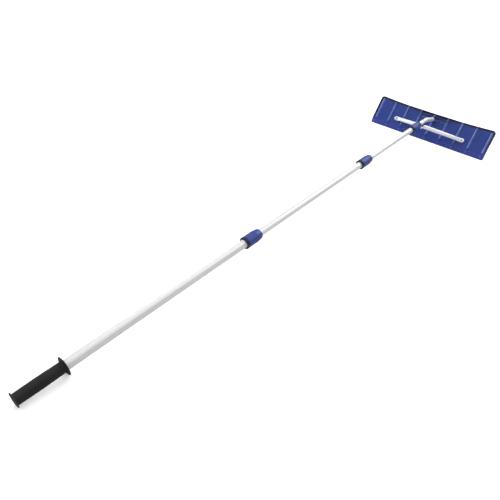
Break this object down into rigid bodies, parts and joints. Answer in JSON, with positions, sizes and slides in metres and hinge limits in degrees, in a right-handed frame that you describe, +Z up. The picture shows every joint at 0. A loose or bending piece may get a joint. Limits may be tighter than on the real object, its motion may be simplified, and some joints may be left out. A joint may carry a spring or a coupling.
{
  "type": "roof snow rake",
  "caption": "Long telescoping aluminium pole with twist locks and a flanged hand grip, and a wide ribbed plastic blade on a bent neck with a bowed brace.",
  "frame": {"origin": "on the ground, under the middle of the box of the rake as it lies on its grip flange and its scraping edge", "axes": "+Y along the pole towards the blade, +X along the blade to the right, +Z up from the ground"},
  "size_m": [0.648, 2.3912, 0.1391],
  "materials": {
    "grip_rubber": "matte black moulded rubber",
    "pole_aluminium": "satin clear-anodised drawn tube",
    "brace_aluminium": "satin clear-anodised drawn tube with pressed ends",
    "blade_plastic": "moulded blue polypropylene",
    "collar_plastic": "moulded blue nylon with grip flutes",
    "sleeve_plastic": "moulded navy nylon",
    "inner_nylon": "natural nylon",
    "saddle_plastic": "moulded navy nylon",
    "rivet_steel": "plain steel rivets",
    "fastener_steel": "zinc-plated steel"
  },
  "bodies": {
    "lower_pole": {"grip": "grip_rubber", "tube_end_plug": "inner_nylon", "lower_tube": "pole_aluminium", "lower_lock_sleeve": "sleeve_plastic", "lower_lock_rivets": "rivet_steel", "lower_lock_collet": "inner_nylon"},
    "lower_lock_collar": {"lower_lock_collar": "collar_plastic"},
    "middle_pole": {"middle_tube": "pole_aluminium", "middle_tube_guide": "inner_nylon", "upper_lock_sleeve": "sleeve_plastic", "upper_lock_rivets": "rivet_steel", "upper_lock_collet": "inner_nylon"},
    "upper_lock_collar": {"upper_lock_collar": "collar_plastic"},
    "upper_pole": {"upper_tube": "pole_aluminium", "upper_tube_guide": "inner_nylon", "head_lock_sleeve": "sleeve_plastic", "head_lock_rivets": "rivet_steel", "head_lock_collet": "inner_nylon"},
    "head_lock_collar": {"head_lock_collar": "collar_plastic"},
    "head": {"neck_guide": "inner_nylon", "neck_tube": "pole_aluminium", "blade": "blade_plastic", "brace_tube": "brace_aluminium", "brace_saddle": "saddle_plastic", "neck_cross_bolt": "fastener_steel", "neck_cross_washer": "fastener_steel", "neck_cross_nut": "fastener_steel", "brace_centre_bolt": "fastener_steel", "brace_centre_nut": "fastener_steel", "brace_foot_bolts": "fastener_steel", "brace_foot_washers": "fastener_steel", "brace_foot_nuts": "fastener_steel"}
  },
  "joints": [
    {"name": "lower_collar_twist", "type": "hinge", "parent": "lower_pole", "child": "lower_lock_collar", "pos_m": [0, 0.95336, 0.1184], "axis": [0, 0.999, 0.044], "range_deg": [0, 180]},
    {"name": "middle_section_slide", "type": "slide", "parent": "lower_pole", "child": "middle_pole", "axis": [0, 0.999, 0.044], "range_m": [-0.67, 0.02]},
    {"name": "upper_collar_twist", "type": "hinge", "parent": "middle_pole", "child": "upper_lock_collar", "pos_m": [0, 0.95336, 0.1184], "axis": [0, 0.999, 0.044], "range_deg": [0, 180]},
    {"name": "upper_section_slide", "type": "slide", "parent": "middle_pole", "child": "upper_pole", "axis": [0, 0.999, 0.044], "range_m": [-0.38, 0.27]},
    {"name": "head_collar_twist", "type": "hinge", "parent": "upper_pole", "child": "head_lock_collar", "pos_m": [0, 0.95336, 0.1184], "axis": [0, 0.999, 0.044], "range_deg": [0, 180]},
    {"name": "head_turn", "type": "hinge", "parent": "upper_pole", "child": "head", "pos_m": [0, 0.95336, 0.1184], "axis": [0, 0.999, 0.044], "range_deg": [-180, 180]}
  ]
}
